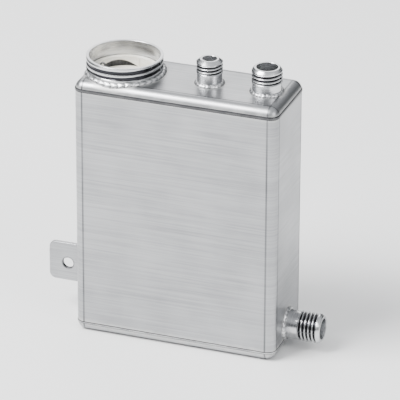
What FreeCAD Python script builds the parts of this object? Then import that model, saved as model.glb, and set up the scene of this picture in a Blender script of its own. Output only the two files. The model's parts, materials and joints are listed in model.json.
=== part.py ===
"""Hydraulic reservoir: a welded aluminium tank with a wide threaded filler neck, two ports on
top, one low on the side, a mounting tab, and the pieces that such a tank holds inside.

Millimetres, +Z up. The origin is the middle of the flat underside, +X points to the side port
and -Y is the front. Every driving dimension is a cell of the Dimensions sheet.
"""
import FreeCAD, Part
import os
import Sketcher

from FreeCAD import Placement, Rotation, Vector

doc = FreeCAD.newDocument("hydraulic_reservoir")

DIMENSIONS = [
    # tank, made of a bent tube body and two pressed caps
    ("tank_width", 155.0),
    ("tank_depth", 62.5),
    ("tank_height", 201.0),
    ("edge_radius", 7.0),
    ("wall", 3.0),
    # butt seams between the body and the caps
    ("seam_width", 2.0),
    ("seam_crown", 0.2),
    ("seam_root", 1.2),
    # filler neck
    ("neck_x", -49.0),
    ("neck_radius", 28.0),
    ("neck_bore", 25.8),
    ("neck_height", 12.5),
    ("neck_reach", 6.0),
    ("neck_collar_radius", 27.4),
    ("neck_pitch", 4.4),
    ("neck_crest", 1.0),
    ("neck_rim_chamfer", 0.4),
    ("neck_valley_from_rim", 2.3),
    ("neck_valley_mouth", 3.2),
    ("neck_valley_floor", 1.8),
    ("neck_valley_depth", 1.1),
    ("neck_opening", 24.0),
    ("neck_weld_toe", 30.3),
    ("neck_weld_thick", 1.6),
    ("neck_weld_drop", 7.5),
    # what every welded port shares
    ("port_inside", 3.0),
    ("port_lead", 2.4),
    ("mouth_chamfer", 0.3),
    ("port_weld_leg", 1.8),
    ("port_weld_rise", 2.0),
    ("port_weld_sink", 1.0),
    # a 60 degree thread: the depth of its valley, as a share of the pitch
    ("thread_depth", 0.6134),
    # large ports, 7/8 in coarse thread
    ("large_thread", 11.11),
    ("large_pitch", 2.822),
    ("large_shank", 10.7),
    ("large_nose", 9.4),
    ("large_bore", 7.75),
    ("return_x", 59.5),
    ("return_height", 19.0),
    ("return_turns", 3),
    ("suction_z", 18.0),
    ("suction_height", 27.5),
    ("suction_turns", 5),
    # small port, 3/4 in coarse thread
    ("small_thread", 9.525),
    ("small_pitch", 2.54),
    ("small_shank", 9.15),
    ("small_nose", 6.8),
    ("small_bore", 5.2),
    ("vent_x", 16.0),
    ("vent_height", 19.0),
    ("vent_turns", 3),
    # drop tube under the return port
    ("drop_outer", 9.0),
    ("drop_inner", 7.75),
    ("drop_socket", 3.0),
    ("drop_end_z", 72.0),
    # mounting tab
    ("tab_length", 32.0),
    ("tab_height", 30.5),
    ("tab_thick", 3.0),
    ("tab_middle_z", 39.2),
    ("tab_corner", 5.0),
    ("tab_hole", 4.2),
    ("tab_hole_from_edge", 14.8),
    ("tab_hole_drop", 1.0),
    ("tab_weld_leg", 2.4),
    ("tab_weld_short", 0.5),
    # baffle shelf inside
    ("shelf_left_x", -30.0),
    ("shelf_top_z", 58.0),
    ("shelf_thick", 2.0),
    ("shelf_lip", 12.0),
    ("shelf_gap", 0.25),
    ("shelf_corner", 4.5),
    ("shelf_hole", 3.0),
    ("shelf_hole_count", 5),
    ("shelf_hole_first", 15.0),
    ("shelf_hole_pitch", 14.0),
    ("stitch_leg", 2.0),
    ("stitch_length", 12.0),
    ("stitch_count", 3),
    ("stitch_first", 12.0),
    ("stitch_pitch", 36.0),
    # suction strainer inside
    ("hex_across_flats", 24.0),
    ("hex_length", 8.0),
    ("spigot_outer", 7.7),
    ("spigot_bore", 5.6),
    ("spigot_length", 8.0),
    ("core_outer", 9.6),
    ("core_inner", 8.6),
    ("core_length", 52.0),
    ("core_hole", 2.0),
    ("core_hole_rings", 6),
    ("core_hole_first", 6.0),
    ("core_hole_pitch", 8.0),
    ("screen_thick", 0.6),
    ("end_cap_radius", 11.4),
    ("end_cap_length", 6.0),
    ("end_cap_floor", 2.0),
    ("end_cap_chamfer", 1.0),
    # filler strainer basket, which lifts out through the neck
    ("basket_gap", 0.3),
    ("basket_flange", 25.3),
    ("basket_flange_thick", 1.2),
    ("basket_outer", 23.2),
    ("basket_inner", 22.0),
    ("basket_floor_depth", 6.2),
    ("basket_hem", 1.8),
    ("basket_floor_thick", 1.2),
    ("arch_top_depth", 1.0),
    ("arch_radius", 26.0),
    ("arch_turn", 37.0),
    ("basket_screen_thick", 0.3),
    ("basket_screen_short", 1.0),
    ("lug_right", -18.6),
    ("lug_back", 4.0),
    ("lug_width", 4.8),
    ("lug_thick", 1.4),
    ("lug_eye_depth", 0.6),
    ("lug_eye", 1.3),
    # how far slabs, cutters and grooves run past the metal
    ("spare", 20.0),
    ("groove_spare", 1.0),
]

# Section of a port's weld bead, from its toe up: (share of the leg, share of the rise).
BEAD_SECTION = [(1.0, 0.1), (0.75, 0.55), (0.3, 0.9), (0.0, 1.0)]

sheet = doc.addObject("Spreadsheet::Sheet", "Dimensions")
for row, (alias, value) in enumerate(DIMENSIONS, start=1):
    sheet.set(f"A{row}", alias.replace("_", " "))
    sheet.set(f"B{row}", str(value))
    sheet.setAlias(f"B{row}", alias)
doc.recompute()

ALIASES = {alias for alias, _ in DIMENSIONS}


def expression(text):
    """Points each alias named in the text, whose words are parted by spaces, at its cell."""
    return " ".join(f"Dimensions.{word}" if word in ALIASES else word for word in text.split())


def number(text):
    """The value of an expression."""
    return float(sheet.evalExpression(expression(text)))


def bind(thing, **properties):
    """Binds properties to expressions. A double underscore in a name stands for a dot."""
    for name, text in properties.items():
        thing.setExpression(name.replace("__", "."), expression(text))


def place(thing, x="0", y="0", z="0", turn=None):
    """Puts a thing's own origin at x, y, z, turned first if a rotation is given."""
    if turn is not None:
        thing.Placement = Placement(Vector(), turn)
    bind(thing, Placement__Base__x=x, Placement__Base__y=y, Placement__Base__z=z)
    return thing


# ---------------------------------------------------------------- Part primitives and booleans

def box(name, length, width, height, x="0", y="0", z="0"):
    thing = doc.addObject("Part::Box", name)
    bind(thing, Length=length, Width=width, Height=height)
    return place(thing, x, y, z)


def slab(name, z_from, z_to):
    """A slice of space, wider than the tank, between two heights."""
    return box(name, "tank_width + 2 * spare", "tank_depth + 2 * spare", f"{z_to} - ( {z_from} )",
               "0 - tank_width / 2 - spare", "0 - tank_depth / 2 - spare", z_from)


def cylinder(name, radius, height, x="0", y="0", z="0", turn=None):
    """A cylinder that rises along +Z from its foot, unless turn points it another way."""
    thing = doc.addObject("Part::Cylinder", name)
    bind(thing, Radius=radius, Height=height)
    return place(thing, x, y, z, turn)


def cut(name, base, *tools):
    thing = doc.addObject("Part::Cut", name)
    thing.Base = base
    thing.Tool = tools[0] if len(tools) == 1 else fuse(name + "_cuts", *tools)
    return thing


def fuse(name, *things):
    thing = doc.addObject("Part::MultiFuse", name)
    thing.Shapes = list(things)
    return thing


def common(name, *things):
    thing = doc.addObject("Part::MultiCommon", name)
    thing.Shapes = list(things)
    return thing


def gather(name, *things):
    """Separate solids of one kind, kept together in one node."""
    thing = doc.addObject("Part::Compound", name)
    thing.Links = list(things)
    return thing


def ring(name, outer, inner, height, x="0", y="0", z="0", turn=None):
    return cut(name, cylinder(name + "_outside", outer, height, x, y, z, turn),
               cylinder(name + "_inside", inner, height, x, y, z, turn))


# ---------------------------------------------------------------- PartDesign bodies

def new_body(name):
    return doc.addObject("PartDesign::Body", name)


def profile(body, name, corners, plane="XZ_Plane"):
    """A closed polygon on one of the body's own origin planes. Two bound distances fix each corner."""
    sketch = body.newObject("Sketcher::SketchObject", name)
    support = [f for f in body.Origin.OriginFeatures if f.Role == plane][0]
    sketch.AttachmentSupport = [(support, "")]
    sketch.MapMode = "FlatFace"
    points = [Vector(number(across), number(up), 0) for across, up in corners]
    for i, point in enumerate(points):
        sketch.addGeometry(Part.LineSegment(point, points[(i + 1) % len(points)]), False)
    for i in range(len(points)):
        sketch.addConstraint(Sketcher.Constraint("Coincident", i, 2, (i + 1) % len(points), 1))
    for i, corner in enumerate(corners):
        for text, kind, axis in zip(corner, ("DistanceX", "DistanceY"), (-2, -1)):
            if text == "0":
                sketch.addConstraint(Sketcher.Constraint("PointOnObject", i, 1, axis))
                continue
            index = sketch.addConstraint(Sketcher.Constraint(kind, -1, 1, i, 1, number(text)))
            sketch.setExpression(f"Constraints[{index}]", expression(text))
    return sketch


def revolve(body, name, corners, kind="PartDesign::Revolution"):
    """Turns a polygon of (radius, height) corners once round the body's own Z."""
    sketch = profile(body, name + "_sketch", corners)
    feature = body.newObject(kind, name)
    feature.Profile = sketch
    feature.ReferenceAxis = (sketch, ["V_Axis"])
    feature.Angle = 360.0
    sketch.Visibility = False
    return feature


def pad(body, name, corners, length, plane, midplane=False):
    sketch = profile(body, name + "_sketch", corners, plane)
    feature = body.newObject("PartDesign::Pad", name)
    feature.Profile = sketch
    feature.Midplane = midplane
    bind(feature, Length=length)
    return feature


def round_edges(body, name, base, radius, wanted):
    """Rounds the edges of the base feature whose shape passes the test."""
    doc.recompute()
    names = [f"Edge{i}" for i, edge in enumerate(base.Shape.Edges, start=1) if wanted(edge)]
    feature = body.newObject("PartDesign::Fillet", name)
    feature.Base = (base, names)
    bind(feature, Radius=radius)
    body.Tip = feature
    return feature


def runs_along(axis):
    """A test for straight edges that run along an axis of the body."""
    return lambda edge: abs(edge.tangentAt(edge.FirstParameter).dot(axis)) > 0.999


def rounded_block(name, width, depth, height, radius, z, every_edge):
    """A block centred on the Z axis with every edge rounded, or only the upright ones."""
    body = new_body(name)
    half = (f"( {width} ) / 2", f"( {depth} ) / 2")
    block = body.newObject("PartDesign::AdditiveBox", name + "_block")
    bind(block, Length=width, Width=depth, Height=height)
    place(block, f"0 - {half[0]}", f"0 - {half[1]}")
    test = (lambda edge: True) if every_edge else runs_along(Vector(0, 0, 1))
    round_edges(body, name + "_rounding", block, radius, test)
    return place(body, z=z)


def repeat_along(body, name, feature, sketch_axis, pitch, count):
    pattern = body.newObject("PartDesign::LinearPattern", name)
    pattern.Originals = [feature]
    pattern.Direction = sketch_axis
    bind(pattern, Length=f"{pitch} * ( {count} - 1 )", Occurrences=count)
    body.Tip = pattern
    return pattern


# ---------------------------------------------------------------- tank shell

TURN_TO_X = Rotation(Vector(0, 1, 0), 90)
UNDER_TOP = "tank_height - wall - port_inside"

envelope = rounded_block("envelope", "tank_width", "tank_depth", "tank_height", "edge_radius", "0", True)
cavity = rounded_block("cavity", "tank_width - 2 * wall", "tank_depth - 2 * wall",
                       "tank_height - 2 * wall", "edge_radius - wall", "wall", True)
shell = cut("shell", envelope, cavity)


def seam_weld(name, z):
    """A butt seam round the tank: it fills a groove in both edges and stands a little proud."""
    foot = f"{z} - seam_width / 2"
    crown = rounded_block(name + "_crown", "tank_width + 2 * seam_crown", "tank_depth + 2 * seam_crown",
                          "seam_width", "edge_radius + seam_crown", foot, False)
    root = rounded_block(name + "_root", "tank_width - 2 * seam_root", "tank_depth - 2 * seam_root",
                         "seam_width", "edge_radius - seam_root", foot, False)
    return cut(name, crown, root)


neck_hole = cylinder("neck_hole", "neck_opening", "spare", "neck_x", "0", "tank_height - spare / 2")
return_hole = cylinder("return_hole", "large_shank", "spare", "return_x", "0", "tank_height - spare / 2")
vent_hole = cylinder("vent_hole", "small_shank", "spare", "vent_x", "0", "tank_height - spare / 2")
suction_hole = cylinder("suction_hole", "large_shank", "spare", "tank_width / 2 - spare / 2", "0",
                        "suction_z", TURN_TO_X)
suction_weld_room = cylinder("suction_weld_room", "large_shank + port_weld_leg", "spare",
                             "tank_width / 2 - spare / 2", "0", "suction_z", TURN_TO_X)

TOP_SEAM_Z = "( tank_height - edge_radius )"
BOTTOM_SEAM_Z = "edge_radius"

top_seam_weld = seam_weld("top_seam_weld", TOP_SEAM_Z)
bottom_seam_weld = cut("bottom_seam_weld", seam_weld("bottom_seam_ring", BOTTOM_SEAM_Z), suction_weld_room)

top_of_shell = common("top_of_shell", shell, slab("above_top_seam", TOP_SEAM_Z, "tank_height + spare"))
middle_of_shell = common("middle_of_shell", shell, slab("between_seams", BOTTOM_SEAM_Z, TOP_SEAM_Z))
bottom_of_shell = common("bottom_of_shell", shell, slab("below_bottom_seam", "0 - spare", BOTTOM_SEAM_Z))

top_cap = cut("top_cap", top_of_shell, top_seam_weld, neck_hole, return_hole, vent_hole)
tank_body = cut("tank_body", middle_of_shell, top_seam_weld, bottom_seam_weld, suction_hole)
bottom_cap = cut("bottom_cap", bottom_of_shell, bottom_seam_weld)


# ---------------------------------------------------------------- filler neck

def make_filler_neck():
    """A short tube whose foot is shaped to the rounded end of the tank, with a coarse outer thread."""
    body = new_body("neck_blank")
    rim = "( neck_reach + neck_height )"
    collar_top = f"{rim} - neck_pitch - neck_valley_from_rim - neck_valley_mouth / 2 - neck_crest"
    revolve(body, "neck_tube", [
        ("neck_bore", "0"),
        ("neck_collar_radius", "0"),
        ("neck_collar_radius", collar_top),
        ("neck_radius", f"{collar_top} + ( neck_radius - neck_collar_radius ) / 2"),
        ("neck_radius", f"{rim} - neck_rim_chamfer"),
        ("neck_radius - neck_rim_chamfer", rim),
        ("neck_bore + mouth_chamfer", rim),
        ("neck_bore", f"{rim} - mouth_chamfer"),
    ])
    middle = f"{rim} - neck_valley_from_rim - neck_pitch"
    valley = revolve(body, "neck_valley", [
        ("neck_radius - neck_valley_depth", f"{middle} - neck_valley_floor / 2"),
        ("neck_radius", f"{middle} - neck_valley_mouth / 2"),
        ("neck_radius + groove_spare", f"{middle} - neck_valley_mouth / 2"),
        ("neck_radius + groove_spare", f"{middle} + neck_valley_mouth / 2"),
        ("neck_radius", f"{middle} + neck_valley_mouth / 2"),
        ("neck_radius - neck_valley_depth", f"{middle} + neck_valley_floor / 2"),
    ], "PartDesign::Groove")
    repeat_along(body, "neck_valleys", valley, (valley.Profile[0], ["V_Axis"]), "neck_pitch", "2")
    place(body, "neck_x", "0", "tank_height - neck_reach")
    return cut("filler_neck", body, envelope)


filler_neck = make_filler_neck()

weld_skin = rounded_block("weld_skin", "tank_width + 2 * neck_weld_thick", "tank_depth + 2 * neck_weld_thick",
                          "tank_height + 2 * neck_weld_thick", "edge_radius + neck_weld_thick",
                          "0 - neck_weld_thick", True)
weld_band = ring("neck_weld_band", "neck_weld_toe", "neck_collar_radius", "neck_weld_drop + spare / 2",
                 "neck_x", "0", "tank_height - neck_weld_drop")
filler_neck_weld = cut("filler_neck_weld", common("weld_on_skin", weld_skin, weld_band), envelope,
                       top_seam_weld)


# ---------------------------------------------------------------- ports

def threaded_port(name, kind, height, turns, x="0", z="0", turn=None, socket=None):
    """A weld-in threaded stub. Its own Z is its axis and its own origin its inner end.

    Its thread is turned as closed ridges of the thread's section, pitch and diameters.
    """
    body = new_body(name)
    skin = "( wall + port_inside )"
    nose = f"( {skin} + {height} )"
    thread_top = f"( {nose} - port_lead )"
    thread_foot = f"( {thread_top} - {kind}_pitch * {turns} )"
    step = f"( {kind}_thread - {kind}_shank )"
    half_crest = f"{kind}_pitch / 16"
    inner = [(f"{kind}_bore", "0")]
    if socket:
        inner = [(f"{kind}_bore", socket), ("drop_outer", socket), ("drop_outer", "0")]
    revolve(body, name + "_stub", [
        *inner,
        (f"{kind}_shank", "0"),
        (f"{kind}_shank", f"{thread_foot} - {half_crest} - {step}"),
        (f"{kind}_thread", f"{thread_foot} - {half_crest}"),
        (f"{kind}_thread", f"{thread_top} + {half_crest}"),
        (f"{kind}_nose", nose),
        (f"{kind}_bore + mouth_chamfer", nose),
        (f"{kind}_bore", f"{nose} - mouth_chamfer"),
    ])
    floor = f"( {kind}_thread - thread_depth * {kind}_pitch )"
    middle = f"( {thread_foot} + {kind}_pitch / 2 )"
    valley = revolve(body, name + "_valley", [
        (floor, f"{middle} - {kind}_pitch / 8"),
        (f"{kind}_thread", f"{middle} - {kind}_pitch * 7 / 16"),
        (f"{kind}_thread + groove_spare", f"{middle} - {kind}_pitch * 7 / 16"),
        (f"{kind}_thread + groove_spare", f"{middle} + {kind}_pitch * 7 / 16"),
        (f"{kind}_thread", f"{middle} + {kind}_pitch * 7 / 16"),
        (floor, f"{middle} + {kind}_pitch / 8"),
    ], "PartDesign::Groove")
    repeat_along(body, name + "_thread", valley, (valley.Profile[0], ["V_Axis"]), f"{kind}_pitch", turns)
    return place(body, x, "0", z, turn)


def port_weld(name, kind, x, z, turn=None):
    """A fillet bead round a port's shank, cut to lie on the tank."""
    body = new_body(name + "_blank")
    section = [(f"{kind}_shank + port_weld_leg * {out}", f"port_weld_sink + port_weld_rise * {up}")
               for out, up in BEAD_SECTION]
    revolve(body, name + "_bead", [
        (f"{kind}_shank", "0"),
        (f"{kind}_shank + port_weld_leg", "0"),
        *section,
    ])
    place(body, x, "0", z, turn)
    return cut(name, body, envelope)


return_port = threaded_port("return_port", "large", "return_height", "return_turns", "return_x",
                            UNDER_TOP, socket="drop_socket")
return_port_weld = port_weld("return_port_weld", "large", "return_x", "tank_height - port_weld_sink")
vent_port = threaded_port("vent_port", "small", "vent_height", "vent_turns", "vent_x", UNDER_TOP)
vent_port_weld = port_weld("vent_port_weld", "small", "vent_x", "tank_height - port_weld_sink")
suction_port = threaded_port("suction_port", "large", "suction_height", "suction_turns",
                             "tank_width / 2 - wall - port_inside", "suction_z", TURN_TO_X)
suction_port_weld = port_weld("suction_port_weld", "large", "tank_width / 2 - port_weld_sink",
                              "suction_z", TURN_TO_X)


# ---------------------------------------------------------------- mounting tab

def make_mounting_tab():
    """A flat plate that stands out from the left side, facing the front, with one bolt hole."""
    body = new_body("mounting_tab")
    plate = pad(body, "tab_plate", [("0", "0"), ("tab_length", "0"), ("tab_length", "tab_height"),
                                    ("0", "tab_height")], "tab_thick", "XZ_Plane", midplane=True)
    runs_through = runs_along(Vector(0, 1, 0))
    rounded = round_edges(body, "tab_corners", plate, "tab_corner",
                          lambda edge: runs_through(edge) and edge.CenterOfMass.x < number("tab_length / 2"))
    sketch = body.newObject("Sketcher::SketchObject", "tab_hole_sketch")
    sketch.AttachmentSupport = [(plate.Profile[0].AttachmentSupport[0][0], "")]
    sketch.MapMode = "FlatFace"
    across, up = "tab_hole_from_edge", "tab_height / 2 - tab_hole_drop"
    middle = Vector(number(across), number(up), 0)
    sketch.addGeometry(Part.Circle(middle, Vector(0, 0, 1), number("tab_hole")))
    for kind, text in (("DistanceX", across), ("DistanceY", up)):
        index = sketch.addConstraint(Sketcher.Constraint(kind, -1, 1, 0, 3, number(text)))
        sketch.setExpression(f"Constraints[{index}]", expression(text))
    index = sketch.addConstraint(Sketcher.Constraint("Radius", 0, number("tab_hole")))
    sketch.setExpression(f"Constraints[{index}]", expression("tab_hole"))
    hole = body.newObject("PartDesign::Pocket", "tab_bolt_hole")
    hole.Profile = sketch
    hole.Midplane = True
    bind(hole, Length="2 * tab_thick")
    body.Tip = hole
    place(body, "0 - tank_width / 2 - tab_length", "0", "tab_middle_z - tab_height / 2")
    doc.recompute()
    if hole.Shape.Volume >= rounded.Shape.Volume:
        raise RuntimeError("the tab's bolt hole cut nothing")
    return body


def tab_weld(name, side):
    """A fillet bead up one face of the tab's root. Side is 1 behind the tab and -1 in front."""
    body = new_body(name)
    pad(body, name + "_pad", [("0", "0"), ("tab_weld_leg", "0"), ("0", "tab_weld_leg")],
        "tab_height - 2 * tab_weld_short", "XY_Plane")
    turn = Rotation(Vector(0, 0, 1), 90) if side > 0 else Rotation(Vector(0, 0, 1), 180)
    y = "tab_thick / 2" if side > 0 else "0 - tab_thick / 2"
    return place(body, "0 - tank_width / 2", y, "tab_middle_z - tab_height / 2 + tab_weld_short", turn)


mounting_tab = make_mounting_tab()
mounting_tab_welds = gather("mounting_tab_welds", tab_weld("tab_weld_back", 1),
                            tab_weld("tab_weld_front", -1))


# ---------------------------------------------------------------- inside: return drop tube and shelf

def make_drop_tube():
    """A tube from the return port's socket, cut off at 45 degrees just above the shelf."""
    tube = ring("drop_tube_stock", "drop_outer", "drop_inner", f"{UNDER_TOP} + drop_socket - drop_end_z",
                "return_x", "0", "drop_end_z")
    cutter = box("drop_tube_cutter", "4 * drop_outer", "4 * drop_outer", "4 * drop_outer")
    place(cutter, "return_x - drop_outer", "0 - 2 * drop_outer", "drop_end_z", Rotation(Vector(0, 1, 0), 45))
    return cut("return_drop_tube", tube, cutter)


return_drop_tube = make_drop_tube()


def make_shelf():
    """A shelf over the suction strainer, open at the left, with a lip bent down at its free edge."""
    body = new_body("shelf_blank")
    reach = "( tank_width / 2 - wall - shelf_gap - shelf_left_x )"
    plate = pad(body, "shelf_plate", [
        ("0", "0"),
        ("shelf_thick", "0"),
        ("shelf_thick", "shelf_lip"),
        (reach, "shelf_lip"),
        (reach, "shelf_lip + shelf_thick"),
        ("0", "shelf_lip + shelf_thick"),
    ], "tank_depth - 2 * wall - 2 * shelf_gap", "XZ_Plane", midplane=True)
    runs_up = runs_along(Vector(0, 0, 1))
    round_edges(body, "shelf_corners", plate, "shelf_corner",
                lambda edge: runs_up(edge) and edge.CenterOfMass.x > number("spare"))
    place(body, "shelf_left_x", "0", "shelf_top_z - shelf_thick - shelf_lip")
    holes = [cylinder(f"shelf_hole_{i}", "shelf_hole", "spare",
                      f"shelf_left_x + shelf_hole_first + {i} * shelf_hole_pitch", "0",
                      "shelf_top_z - spare / 2") for i in range(int(number("shelf_hole_count")))]
    return cut("baffle_shelf", body, *holes)


def stitch(name, x, side):
    """A short fillet bead between the shelf's top and the tank's wall."""
    body = new_body(name)
    pad(body, name + "_pad", [("0", "0"), ("stitch_leg", "0"), ("0", "stitch_leg")], "stitch_length",
        "YZ_Plane")
    if side < 0:
        return place(body, x, "0 - tank_depth / 2 + wall", "shelf_top_z")
    turn = Rotation(Vector(0, 0, 1), 180)
    return place(body, f"{x} + stitch_length", "tank_depth / 2 - wall", "shelf_top_z", turn)


def make_shelf_welds():
    stitches = []
    for i in range(int(number("stitch_count"))):
        x = f"shelf_left_x + stitch_first + {i} * stitch_pitch"
        stitches += [stitch(f"stitch_{i}_front", x, -1), stitch(f"stitch_{i}_back", x, 1)]
    return gather("baffle_shelf_welds", *stitches)


baffle_shelf = make_shelf()
baffle_shelf_welds = make_shelf_welds()


# ---------------------------------------------------------------- inside: suction strainer

INNER_END = "tank_width / 2 - wall - port_inside"
TURN_TO_MINUS_X = Rotation(Vector(0, 1, 0), -90)


def make_strainer_nut():
    """A hexagon with a spigot that pushes into the suction port."""
    body = new_body("strainer_nut_blank")
    hexagon = doc.addObject("Part::Prism", "strainer_hexagon")
    hexagon.Polygon = 6
    bind(hexagon, Circumradius="hex_across_flats / sqrt( 3 )", Height="hex_length")
    place(hexagon, f"{INNER_END} - hex_length", "0", "suction_z", TURN_TO_X)
    revolve(body, "strainer_spigot", [
        ("spigot_bore", "0"),
        ("core_outer", "0"),
        ("core_outer", "hex_length"),
        ("spigot_outer", "hex_length"),
        ("spigot_outer", "hex_length + spigot_length"),
        ("spigot_bore", "hex_length + spigot_length"),
    ])
    place(body, f"{INNER_END} - hex_length", "0", "suction_z", TURN_TO_X)
    bore = cylinder("strainer_nut_bore", "spigot_bore", "hex_length", f"{INNER_END} - hex_length", "0",
                    "suction_z", TURN_TO_X)
    return cut("suction_strainer_nut", fuse("strainer_nut_solid", hexagon, body), bore)


def make_strainer_core():
    """The strainer's tube, with rings of holes through its wall."""
    foot = f"{INNER_END} - hex_length"
    tube = ring("strainer_core_tube", "core_outer", "core_inner", "core_length", foot, "0", "suction_z",
                TURN_TO_MINUS_X)
    drills = []
    for i in range(int(number("core_hole_rings"))):
        x = f"{foot} - core_hole_first - core_hole_pitch * {i}"
        for angle in (0, 60, 120):
            turn = Rotation(Vector(1, 0, 0), angle)
            start = turn.multVec(Vector(0, 0, -1))
            drills.append(cylinder(f"core_drill_{i}_{angle}", "core_hole", "2 * spare", x,
                                   f"spare * {start.y:.6f}", f"suction_z + spare * {start.z:.6f}", turn))
    return cut("suction_strainer_core", tube, *drills)


def make_strainer_cap():
    """A cup that closes the strainer's far end and holds the screen's edge."""
    body = new_body("suction_strainer_end_cap")
    revolve(body, "end_cap_cup", [
        ("0", "0"),
        ("end_cap_radius - end_cap_chamfer", "0"),
        ("end_cap_radius", "end_cap_chamfer"),
        ("end_cap_radius", "end_cap_length"),
        ("core_outer + screen_thick", "end_cap_length"),
        ("core_outer + screen_thick", "end_cap_floor"),
        ("0", "end_cap_floor"),
    ])
    far_end = f"{INNER_END} - hex_length - core_length"
    return place(body, f"{far_end} - end_cap_floor", "0", "suction_z", TURN_TO_X)


suction_strainer_nut = make_strainer_nut()
suction_strainer_core = make_strainer_core()
suction_strainer_screen = ring("suction_strainer_screen", "core_outer + screen_thick", "core_outer",
                               "core_length", f"{INNER_END} - hex_length - core_length", "0", "suction_z",
                               TURN_TO_X)
suction_strainer_end_cap = make_strainer_cap()


# ---------------------------------------------------------------- filler strainer basket

BASKET_FLOOR = "tank_height - basket_floor_depth"


def make_basket_frame():
    """A flanged ring on four feet: the wall between the feet is cut away in four arches."""
    body = new_body("basket_blank")
    wall_height = "basket_hem + basket_floor_depth + basket_gap"
    revolve(body, "basket_ring", [
        ("basket_inner", "0"),
        ("basket_outer", "0"),
        ("basket_outer", wall_height),
        ("basket_flange", wall_height),
        ("basket_flange", f"{wall_height} + basket_flange_thick"),
        ("basket_inner", f"{wall_height} + basket_flange_thick"),
    ])
    place(body, "neck_x", "0", f"{BASKET_FLOOR} - basket_hem")
    arches = []
    for i in range(2):
        turn = Rotation(Vector(0, 0, 1), number("arch_turn") + 90 * i) * TURN_TO_X
        start = turn.multVec(Vector(0, 0, -1))
        arches.append(cylinder(f"arch_cutter_{i}", "arch_radius", "4 * spare",
                               f"neck_x + 2 * spare * {start.x:.6f}", f"2 * spare * {start.y:.6f}",
                               "tank_height - arch_top_depth - arch_radius", turn))
    above_floor = slab("above_basket_floor", BASKET_FLOOR, "tank_height")
    windows = common("basket_windows", fuse("arch_cutters", *arches), above_floor)
    return cut("filler_strainer_frame", body, windows)


def make_basket_lug():
    """An upright eye on the basket's floor, to hook the basket out."""
    eye_x = "neck_x + lug_right"
    eye_z = "tank_height - lug_eye_depth"
    turn = Rotation(Vector(1, 0, 0), 90)
    head = cylinder("lug_head", "lug_width / 2", "lug_thick", eye_x, "lug_back + lug_thick / 2", eye_z, turn)
    plate = box("lug_plate", "lug_width", "lug_thick", "basket_floor_depth - lug_eye_depth",
                f"{eye_x} - lug_width / 2", "lug_back - lug_thick / 2", BASKET_FLOOR)
    eye = cylinder("lug_eye_hole", "lug_eye", "2 * lug_thick", eye_x, "lug_back + lug_thick", eye_z, turn)
    return cut("filler_strainer_lug", fuse("lug_solid", head, plate), eye)


filler_strainer_frame = make_basket_frame()
filler_strainer_screen = ring("filler_strainer_screen", "basket_outer + basket_screen_thick",
                              "basket_outer", "basket_floor_depth - basket_screen_short", "neck_x", "0",
                              BASKET_FLOOR)
filler_strainer_floor = cylinder("filler_strainer_floor", "basket_inner", "basket_floor_thick", "neck_x", "0",
                                 f"{BASKET_FLOOR} - basket_floor_thick")
filler_strainer_lug = make_basket_lug()


# ---------------------------------------------------------------- check and export

PARTS = [
    tank_body, top_cap, bottom_cap, top_seam_weld, bottom_seam_weld,
    filler_neck, filler_neck_weld,
    return_port, return_port_weld, return_drop_tube,
    vent_port, vent_port_weld,
    suction_port, suction_port_weld,
    mounting_tab, mounting_tab_welds,
    baffle_shelf, baffle_shelf_welds,
    suction_strainer_nut, suction_strainer_core, suction_strainer_screen, suction_strainer_end_cap,
    filler_strainer_frame, filler_strainer_screen, filler_strainer_floor, filler_strainer_lug,
]

doc.recompute()
for thing in doc.Objects:
    if "Invalid" in thing.State or "Error" in thing.State:
        raise RuntimeError(f"{thing.Name} failed: {thing.State}")
os.makedirs("parts", exist_ok=True)
for part in PARTS:
    part.Label = part.Name
    shape = part.Shape
    if shape.isNull() or not shape.isValid() or not shape.Solids:
        raise RuntimeError(f"{part.Label} has no valid solid")
    shape.exportStep(f"parts/{part.Label}.step")
    print(f"{part.Label}: {len(shape.Solids)} solid, {shape.Volume:.1f} mm3")
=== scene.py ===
"""Looks of the hydraulic reservoir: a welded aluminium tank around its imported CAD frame.

Metres, +Z up, in the row frame. Sizes that the frame doesn't hold are named below in millimetres.
"""

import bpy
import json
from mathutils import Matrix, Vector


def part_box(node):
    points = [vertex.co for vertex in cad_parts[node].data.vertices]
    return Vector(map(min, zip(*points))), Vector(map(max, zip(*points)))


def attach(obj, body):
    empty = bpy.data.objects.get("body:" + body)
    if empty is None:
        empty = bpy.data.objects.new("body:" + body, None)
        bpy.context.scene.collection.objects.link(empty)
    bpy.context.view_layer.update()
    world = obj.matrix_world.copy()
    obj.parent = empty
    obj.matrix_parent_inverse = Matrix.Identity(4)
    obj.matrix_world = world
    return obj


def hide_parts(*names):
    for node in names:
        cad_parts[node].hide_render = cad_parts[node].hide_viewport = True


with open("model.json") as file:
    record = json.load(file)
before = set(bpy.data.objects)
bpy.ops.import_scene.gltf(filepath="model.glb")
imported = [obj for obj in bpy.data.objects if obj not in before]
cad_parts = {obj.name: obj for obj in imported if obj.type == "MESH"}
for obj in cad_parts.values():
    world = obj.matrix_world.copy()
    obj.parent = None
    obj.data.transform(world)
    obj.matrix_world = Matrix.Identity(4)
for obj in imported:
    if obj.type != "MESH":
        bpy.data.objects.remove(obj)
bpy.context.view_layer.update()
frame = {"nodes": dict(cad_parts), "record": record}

import json
import math
import random
from collections import namedtuple

import bmesh
import bpy
from mathutils import Matrix, Vector

MM = 0.001
TURN = 2 * math.pi
X, Y, Z = Vector((1, 0, 0)), Vector((0, 1, 0)), Vector((0, 0, 1))
NODES = frame["nodes"]
MOUNTS = {mount["name"]: mount for mount in frame["record"]["mounts"]}


# ---------------------------------------------------------------- the tank's outer skin

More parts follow.
